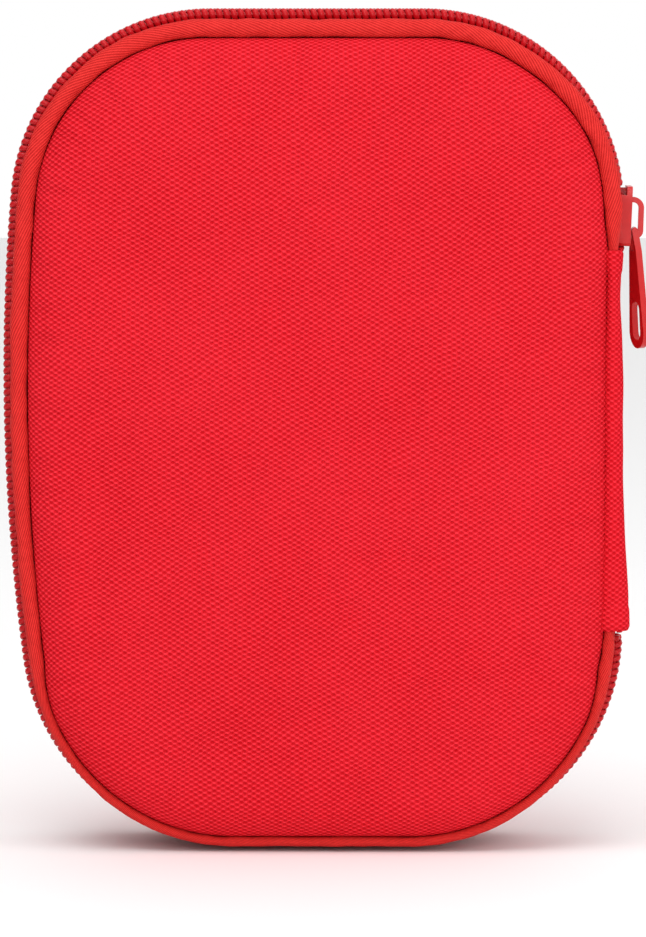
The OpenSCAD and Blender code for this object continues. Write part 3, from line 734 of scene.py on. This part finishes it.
# The low colour of each cloth is the painted shade between its threads and the high colour the painted
# highlight on them
crepe = canvas_finish("crepe bandage", (0.42, 0.40, 0.36), (0.74, 0.73, 0.68), (0.75, 0.75), 0.16)
white_cloth = canvas_finish("folded white cotton", (0.66, 0.66, 0.65), (0.86, 0.86, 0.85), (0.4, 0.4), 0.05)
plaster_cloth = canvas_finish("adhesive tape cloth", (0.52, 0.41, 0.30), (0.72, 0.60, 0.46), (0.5, 0.5), 0.05)
sachet_paper = moulded_finish("sachet paper", (0.74, 0.75, 0.76), (0.88, 0.88, 0.87), 0.5, 5.0, 0.03)
spool_plastic = moulded_finish("pale blue spool", (0.40, 0.53, 0.68), (0.46, 0.60, 0.74), 0.35)
glove_film = moulded_finish("blue glove pack film", (0.30, 0.46, 0.62), (0.46, 0.62, 0.76), 0.22, 7.0, 0.05,
                            Coat_Weight=0.5, Coat_Roughness=0.1)
steel = brushed_finish("brushed steel")


def inside_edges(inset, up):
    """Left and right edge of the inside at heights up, at an inset from the zip line."""
    s = np.linspace(0, AROUND, 1600, endpoint=False)
    x, z, a = along_rim(s)
    px, pz = x - inset * np.cos(a), HALF_H + z - inset * np.sin(a)
    out = []
    for side in (px < MIDDLE_X, px >= MIDDLE_X):
        order = np.argsort(pz[side])
        out.append(np.interp(up, pz[side][order], px[side][order]))
    return out


def lining(side, seed):
    """Lining of one half: a dished sheet 0.5 mm thick, a quarter ellipse from the binding to the flat, then
    shrinking rings to the middle, seen from both faces."""
    s = np.linspace(0, AROUND, 300, endpoint=False)
    x, z, a = along_rim(s)
    turn = np.radians(np.linspace(0, 90, 18))[:, None]
    scales = np.linspace(1, 0.04, 14)[1:, None]
    soft = ripple(5, seed, 22.0, 38.0)
    faces, clothes = [], []
    for t in (FABRIC_T + FOAM_T + 0.1, FABRIC_T + FOAM_T + LINING_T + 0.1):
        inset = SEAM_INSET + SHOULDER - (SHOULDER - t) * np.cos(turn)
        depth = (CROWN - t) * np.sin(turn)
        px, pz = x - inset * np.cos(a), z - inset * np.sin(a)
        px = np.concatenate([px, MIDDLE_X + (px[-1] - MIDDLE_X) * scales])
        pz = np.concatenate([pz, pz[-1] * scales])
        py = np.concatenate([depth + 0 * x, depth[-1] + 0 * x + 0 * scales])
        py = py - 0.10 * (1 + soft(px, pz)) * np.clip(py / 3, 0, 1)
        face = np.stack([px, -EDGE_Y - py, HALF_H + pz], -1)
        face[..., 2] -= settled(face[..., 2])
        faces.append(face)
        clothes.append(np.stack([px, pz], -1))
    points = np.concatenate([faces[0][::-1], faces[1]])
    flat = np.concatenate([clothes[0][::-1], clothes[1]])
    parts = on_side(side, part(points, (False, True), np.concatenate([flat, flat[:, :1]], 1), "fan"))
    made = piece(f"{side}_lining_shown", parts, lining_cloth, "lining", side, (f"{side}_lining",))
    return made


def binding(side):
    """Seam binding round the inside of one half: a flat tape with rounded edges and a row of stitches drawn
    in, carried round the rim."""
    low, high = SEAM_INSET + 0.3, SEAM_INSET + FABRIC_T + FOAM_T + LINING_T
    turn = np.linspace(0, 2 * PI, 26, endpoint=False)[None, :]
    c, q = np.cos(turn), np.sin(turn)
    inset = (low + high) / 2 + (high - low) / 2 * np.sign(c) * np.abs(c) ** 0.45
    depth = EDGE_Y - 0.9 + 0.75 * np.sign(q) * np.abs(q) ** 0.6
    s = np.linspace(0, AROUND, 720, endpoint=False)[:, None]
    stitches = 0.6 + 0.4 * np.cos(2 * PI * s / 2.6)
    drawn = 0.16 * np.exp(-(((inset - high + 0.9) / 0.35) ** 2)) * stitches * (q < 0)
    points = place(s + 0 * turn, inset + 0 * s, -(depth + drawn))
    girth = np.linspace(0, 9.0, 27)[None, :] + np.zeros((721, 1))
    lengths = np.linspace(0, AROUND, 721)[:, None] + 0 * girth
    parts = on_side(side, part(points, (True, True), np.stack([lengths, girth], -1)))
    return piece(f"{side}_binding_shown", parts, binding_cloth, "canvas", side, (f"{side}_seam_binding",))


def pocket(side, seed):
    """Net pocket across one half with an elastic over its upper edge. The net sags a little between its sewn
    edges, and the elastic gathers it in small upright folds."""
    low, high = corners(f"{side}_pocket")
    edge_low, edge_high = corners(f"{side}_pocket_elastic")
    up = np.linspace(low[2] + 0.6, high[2] + 0.5, 64)[:, None]
    left, right = inside_edges(5.15, up)
    t = np.linspace(0, 1, 90)[None, :]
    x = left + (right - left) * t
    middle = (low[1] + high[1]) / 2
    gather = np.sin(2 * PI * x / 3.1 + 1.5 * np.sin(x / 7.0))
    near_top = np.clip((up - high[2] + 16) / 16, 0, 1) ** 2
    y = middle + 0.16 * gather * near_top + 0.12 * ripple(4, seed, 18.0, 30.0)(x, up) * np.sin(PI * t)
    near, far = [np.stack([x, y + shift, up + 0 * x], -1) for shift in (-0.11, 0.11)]
    net = piece(f"{side}_net_pocket", [closed_sheet(near, far, near[..., ::2])], netting, "mesh", side,
                (f"{side}_pocket",))
    up = np.linspace(edge_low[2], edge_high[2], 14)[:, None]
    left, right = inside_edges(5.15, up)
    t = np.linspace(0, 1, 260)[None, :]
    x = left + (right - left) * t
    rolled = np.sqrt(np.clip(1 - (2 * (up - edge_low[2]) / (edge_high[2] - edge_low[2]) - 1) ** 8, 0.04, 1))
    y = middle + 0.13 * np.sin(2 * PI * x / 3.1 + 1.5 * np.sin(x / 7.0)) + 0 * up
    near, far = [np.stack([x, y + shift * rolled, up + 0 * x], -1) for shift in (-0.3, 0.3)]
    piece(f"{side}_elastic_shown", [closed_sheet(near, far, near[..., ::2])], elastic_cloth, "elastic", side,
          (f"{side}_pocket_elastic",))
    return net


def bandage(name_):
    """Rolled crepe bandage: a round body whose radius drops by one layer at its loose end, with the layers as
    a spiral groove, z = depth * cos(r / layer + angle), on both ends."""
    low, high = corners(name_)
    centre, radius = (low + high) / 2, (high[0] - low[0]) / 2 - 0.12
    angle = np.linspace(0, 2 * PI, 120, endpoint=False)[None, :]
    layer = 0.8
    step = 0.45 * (angle / (2 * PI))
    r_end = np.linspace(0.3, 1, 44)[:, None]
    groove = 0.22 * (1 - np.cos(2 * PI * (r_end * radius / layer) + angle)) / 2 + 0.25 * np.clip(
        (r_end - 0.93) / 0.07, 0, 1) ** 2
    side_up = np.linspace(high[2] - 0.35, low[2] + 0.35, 50)[:, None]
    rough = 1 + 0.006 * ripple(6, 9, 3.0, 6.0, 12.0)(angle * radius, side_up)
    radii = np.concatenate([r_end * (radius - step), (radius - step) * rough, r_end[::-1] * (radius - step)])
    up = np.concatenate([high[2] - groove, side_up + 0 * angle, low[2] + groove[::-1]])
    points = np.stack([centre[0] + radii * np.cos(angle), centre[1] + radii * np.sin(angle), up], -1)
    run = np.concatenate([radius * r_end, radius + (high[2] - side_up),
                          radius + 50 + radius * (1 - r_end[::-1])])
    flat = np.stack([np.linspace(0, 2 * PI * radius, 121)[None, :] + 0 * run, run + np.zeros((1, 121))], -1)
    parts = [part(points, (False, True), flat, "fan")]
    return piece(name_ + "_shown", parts, crepe, "gauze", "rear", (name_,))


def band_over_rolls():
    """Elastic over both rolls: a strip 20 mm wide that runs from its sewn foot round each roll and back."""
    low, high = corners("bandage_band")
    rolls = [corners("bandage_roll_left"), corners("bandage_roll_right")]
    radius = (rolls[0][1][0] - rolls[0][0][0]) / 2 + 0.45
    centre_y = (rolls[0][0][1] + rolls[0][1][1]) / 2
    foot = high[1] - 0.45
    rise = math.asin((foot - centre_y) / radius)
    turn = np.linspace(PI - rise, 2 * PI + rise, 60)
    ends = [low[0] + 0.3, high[0] - 0.3]
    x, y = [np.linspace(ends[0], ends[0] + 1, 3)], [np.full(3, foot)]
    for roll in rolls:
        x.append((roll[0][0] + roll[1][0]) / 2 + radius * np.cos(turn))
        y.append(centre_y + radius * np.sin(turn))
    x, y = np.concatenate(x + [np.linspace(ends[1] - 1, ends[1], 3)]), np.concatenate(y + [np.full(3, foot)])
    dx, dy = np.gradient(x), np.gradient(y)
    size = np.hypot(dx, dy)
    run = np.cumsum(size)
    up = np.linspace(low[2], high[2], 16)[:, None]
    wave = 0.05 * np.sin(run * 2 * PI / 1.6)[None, :] + 0 * up
    outer, inner = [np.stack([x + dy / size * (o + wave), y - dx / size * (o + wave), up + 0 * wave], -1)
                    for o in (0.32, -0.28)]
    parts = [closed_sheet(outer, inner, np.stack([up + 0 * wave, run + 0 * up], -1))]
    return piece("band_over_rolls", parts, elastic_cloth, "elastic", "rear", ("bandage_band",))


def spool(node_, finish_, slot, inner, layer):
    """Ring about a level axis: a rectangle with rounded corners turned round it, with a spiral of layers in
    its faces if it is wound."""
    low, high = corners(node_)
    centre, outer = (low + high) / 2, (high[0] - low[0]) / 2
    angle = np.linspace(0, 2 * PI, 110, endpoint=False)[:, None]
    radii = np.linspace(inner + 0.25, outer - 0.25, 46)
    half = (high[1] - low[1]) / 2
    wound = layer and 0.10 or 0.0
    groove = wound * (1 + np.cos(2 * PI * radii[None, :] / (layer or 1) + angle))
    r = np.concatenate([[inner, inner], radii, [outer, outer], radii[::-1]])[None, :] + 0 * angle
    edge = np.array([[-half + 0.25, half - 0.25]]) + 0 * angle
    y = np.concatenate([edge, half - groove, edge[:, ::-1], -half + groove[:, ::-1]], 1)
    points = np.stack([centre[0] + r * np.cos(angle), centre[1] + y, centre[2] + r * np.sin(angle)], -1)
    girth = np.cumsum(np.concatenate([[0, 11], np.full(45, 0.18), [1, 11], np.full(46, 0.18), [1, 1]]))
    length = np.linspace(0, 2 * PI * outer, len(angle) + 1)[:, None]
    flat = np.stack([length + 0 * girth, girth + 0 * length], -1)
    return piece(node_ + "_shown", [part(points, (True, True), flat)], finish_, slot, "rear", (node_,))


def packet(low, high, border, crimp, seed, fill=1.0):
    """Flat packet: two faces that swell apart inside a pressed border with fine crimps across it."""
    x = np.linspace(low[0], high[0], 70)[None, :]
    z = np.linspace(low[2], high[2], 80)[:, None]
    e = np.minimum(np.minimum(x - low[0], high[0] - x), np.minimum(z - low[2], high[2] - z))
    t = np.clip((e - border) / 5.0, 0, 1)
    t = t * t * (3 - 2 * t)
    middle, half = (low[1] + high[1]) / 2, (high[1] - low[1]) / 2
    bulge = 0.12 + (half - 0.2) * fill * t * (1 + 0.06 * ripple(5, seed, 12.0, 24.0)(x, z))
    wave = crimp * np.sin(2 * PI * (x + z) / 1.4) * (e < border) + 0.3 * (1 - t) * (half - 0.3) * ripple(
        3, seed + 1, 40.0)(x, z) * (half > 1)
    bulge = np.minimum(bulge, half - 0.02)
    near, far = [np.stack([x + 0 * z, middle + sign * bulge + wave, z + 0 * x], -1) for sign in (-1, 1)]
    return closed_sheet(near, far, near[..., ::2])


def folded_cloth(node_, finish_, layers):
    """Cloth folded flat: one ribbon that goes back and forth in its layers, rounded at each fold, swept
    across the width of the bundle."""
    low, high = corners(node_)
    pitch = (high[1] - low[1]) / layers
    t = np.linspace(0, layers, layers * 22 + 1)
    level = np.floor(np.minimum(t, layers - 1e-6))
    share = t - level
    turn_r = pitch / 2
    reach = high[2] - low[2] - 2 * turn_r
    back = level % 2 == 1
    straight = np.clip((share - 0.15) / 0.7, 0, 1)
    z = low[2] + turn_r + reach * np.where(back, 1 - straight, straight)
    first, second = [PI / 2 * v / 0.15 for v in (share, share - 0.85)]
    bend = np.where(share < 0.15, np.cos(first), np.where(share > 0.85, np.sin(second), 0))
    z = z + turn_r * 0.8 * bend * np.where((share > 0.5) != back, 1, -1)
    rise = np.where(share > 0.85, (1 - np.cos(second)) / 2, 0)
    rise = np.where(share < 0.15, (np.sin(first) - 1) / 2, rise)
    y = low[1] + pitch * (level + 0.5 + rise)
    dy, dz = np.gradient(y), np.gradient(z)
    size = np.maximum(np.hypot(dy, dz), 1e-6)
    thick = pitch * 0.42
    width = np.linspace(low[0] + 0.4, high[0] - 0.4, 24)[:, None]
    y = np.clip(y, low[1] + thick, high[1] - thick)
    outer, inner = [np.stack([width + 0 * y, y + o * dz / size + 0 * width, z - o * dy / size + 0 * width],
                             -1) for o in (thick, -thick)]
    run = np.cumsum(size)
    parts = [closed_sheet(outer, inner, np.stack([width + 0 * run, run + 0 * width], -1))]
    return piece(node_ + "_shown", parts, finish_, "gauze", "front", (node_,))


for _side, _seed in (("front", 71), ("rear", 91)):
    lining(_side, _seed)
    binding(_side)
    _net = pocket(_side, _seed + 3)
    _low, _high = corners(f"{_side}_pocket")
bandage("bandage_roll_left")
bandage("bandage_roll_right")
band_over_rolls()
spool("adhesive_tape", plaster_cloth, "adhesive", 9.05, 1.15)
spool("tape_core", spool_plastic, "spool", 7.5, 0)
_low, _high = corners("gauze_pads")
_thick = (_high[1] - _low[1]) / 4
_sachets = [packet(_low + [0.3 * _i, _thick * _i, -0.2 * _i], _high - [0.4 * (3 - _i), _thick * (3 - _i), 0],
                   3.0, 0.06, 200 + _i) for _i in range(4)]
piece("gauze_sachets", _sachets, sachet_paper, "paper", "rear", ("gauze_pads",))
_low, _high = corners("plaster_pack")
refined("plaster_pack", printed_finish("plaster carton", (0.80, 0.79, 0.74), (0.10, 0.34, 0.28), _low[2] + 34,
                                       _low[2] + 44), "rear", 0.5, slot="carton")
folded_cloth("triangular_bandage", white_cloth, 5)
_low, _high = corners("glove_pack")
piece("glove_pack_shown", [packet(_low, _high, 3.5, 0.08, 300)], glove_film, "film", "front", ("glove_pack",))
_low, _high = corners("leaflet")
refined("leaflet", printed_finish("leaflet paper", (0.86, 0.86, 0.84), (0.12, 0.30, 0.50), _high[2] - 9,
                                  _high[2] - 4, roughness=0.6), "front", 0.15, slot="paper")
for _node, _body, _width in (("tweezers", "front", 0.25), ("scissors_fixed_half", "front", 0.3),
                             ("scissors_moving_half", "scissors", 0.3), ("scissors_rivet", "front", 0.15)):
    refined(_node, steel, _body, _width, slot="steel")
loop_elastic = moulded_finish("black loop elastic", (0.010, 0.010, 0.011), (0.045, 0.045, 0.048), 0.8, 0.6,
                              0.08)
refined("tool_loops", loop_elastic, "front", 0.2, slot="elastic")

_low, _high = corners("spine_lining")
_y, _z = np.meshgrid(np.linspace(_low[1], _high[1], 24), np.linspace(_low[2], _high[2], 60))
_bow = 0.08 * ripple(4, 61, 9.0, 20.0)(_y, _z)
_inner, _outer = [np.stack([_x + _bow, _y, _z], -1) for _x in (_low[0] + 0.1, _high[0] - 0.1)]
piece("spine_lining_shown", [closed_sheet(_outer, _inner, np.stack([_y, _z], -1))], lining_cloth, "lining",
      "spine", ("spine_lining",))
for _name, _start, _end, _node in (("chain_in_slider", _s1 - 11.6, _s1 - 0.1, "zip_top_chain"),
                                   ("chain_at_foot", -0.1, STRIP_FOOT - FOOT_R + 0.3, "zip_bottom_chain")):
    piece(_name, coil(_start, _end, 0.0) + mirrored(coil(_start, _end, 0.5)), coil_nylon, "zip_coil", "spine",
          (_node,))

# ---- Floor, light and camera ----


def studio():
    """Pale floor, bright surroundings that dim towards the left, two broad soft lamps and the camera."""
    scene = bpy.context.scene
    floor = bpy.data.meshes.new("floor")
    floor.from_pydata([(-3, -3, 0), (3, -3, 0), (3, 3, 0), (-3, 3, 0)], [], [(0, 1, 2, 3)])
    ground = bpy.data.objects.new("floor", floor)
    scene.collection.objects.link(ground)
    paint = finish("pale floor", Base_Color=(0.93, 0.925, 0.925, 1), Roughness=0.7, Specular_IOR_Level=0.2)
    floor.materials.append(paint)
    world = bpy.data.worlds.new("studio")
    scene.world = world
    world.use_nodes = True
    tree = world.node_tree
    sky, split, ramp = [tree.nodes.new(kind) for kind in ("ShaderNodeTexCoord", "ShaderNodeSeparateXYZ",
                                                          "ShaderNodeMapRange")]
    tree.links.new(sky.outputs["Generated"], split.inputs[0])
    tree.links.new(split.outputs["X"], ramp.inputs["Value"])
    for socket, value in (("From Min", -0.95), ("From Max", -0.12), ("To Min", 0.2), ("To Max", 1.0)):
        ramp.inputs[socket].default_value = value
    tree.nodes["Background"].inputs["Color"].default_value = (1, 1, 1, 1)
    tree.links.new(ramp.outputs[0], tree.nodes["Background"].inputs["Strength"])
    for name, spot, size, power in (("overhead", (-0.15, -0.45, 1.1), 0.9, 6.0),
                                    ("front", (0.25, -1.5, 0.5), 0.8, 6.3)):
        lamp = bpy.data.lights.new(name, "AREA")
        lamp.size, lamp.energy = size, power
        held = bpy.data.objects.new(name, lamp)
        held.location = spot
        held.rotation_euler = (Vector((0, 0, 0.07)) - held.location).to_track_quat("-Z", "Y").to_euler()
        scene.collection.objects.link(held)
    scene.view_settings.view_transform = "Standard"
    lens = bpy.data.cameras.new("camera")
    camera = bpy.data.objects.new("camera", lens)
    scene.collection.objects.link(camera)
    far, turn, lift = 1.0, math.radians(0.6), math.radians(4.6)
    aim = Vector((0.0, 0.0, 0.0698))
    camera.location = aim + far * Vector((math.sin(turn) * math.cos(lift), -math.cos(turn) * math.cos(lift),
                                          math.sin(lift)))
    camera.rotation_euler = (aim - camera.location).to_track_quat("-Z", "Y").to_euler()
    lens.lens = 36 * far / 0.1740
    scene.camera = camera


studio()
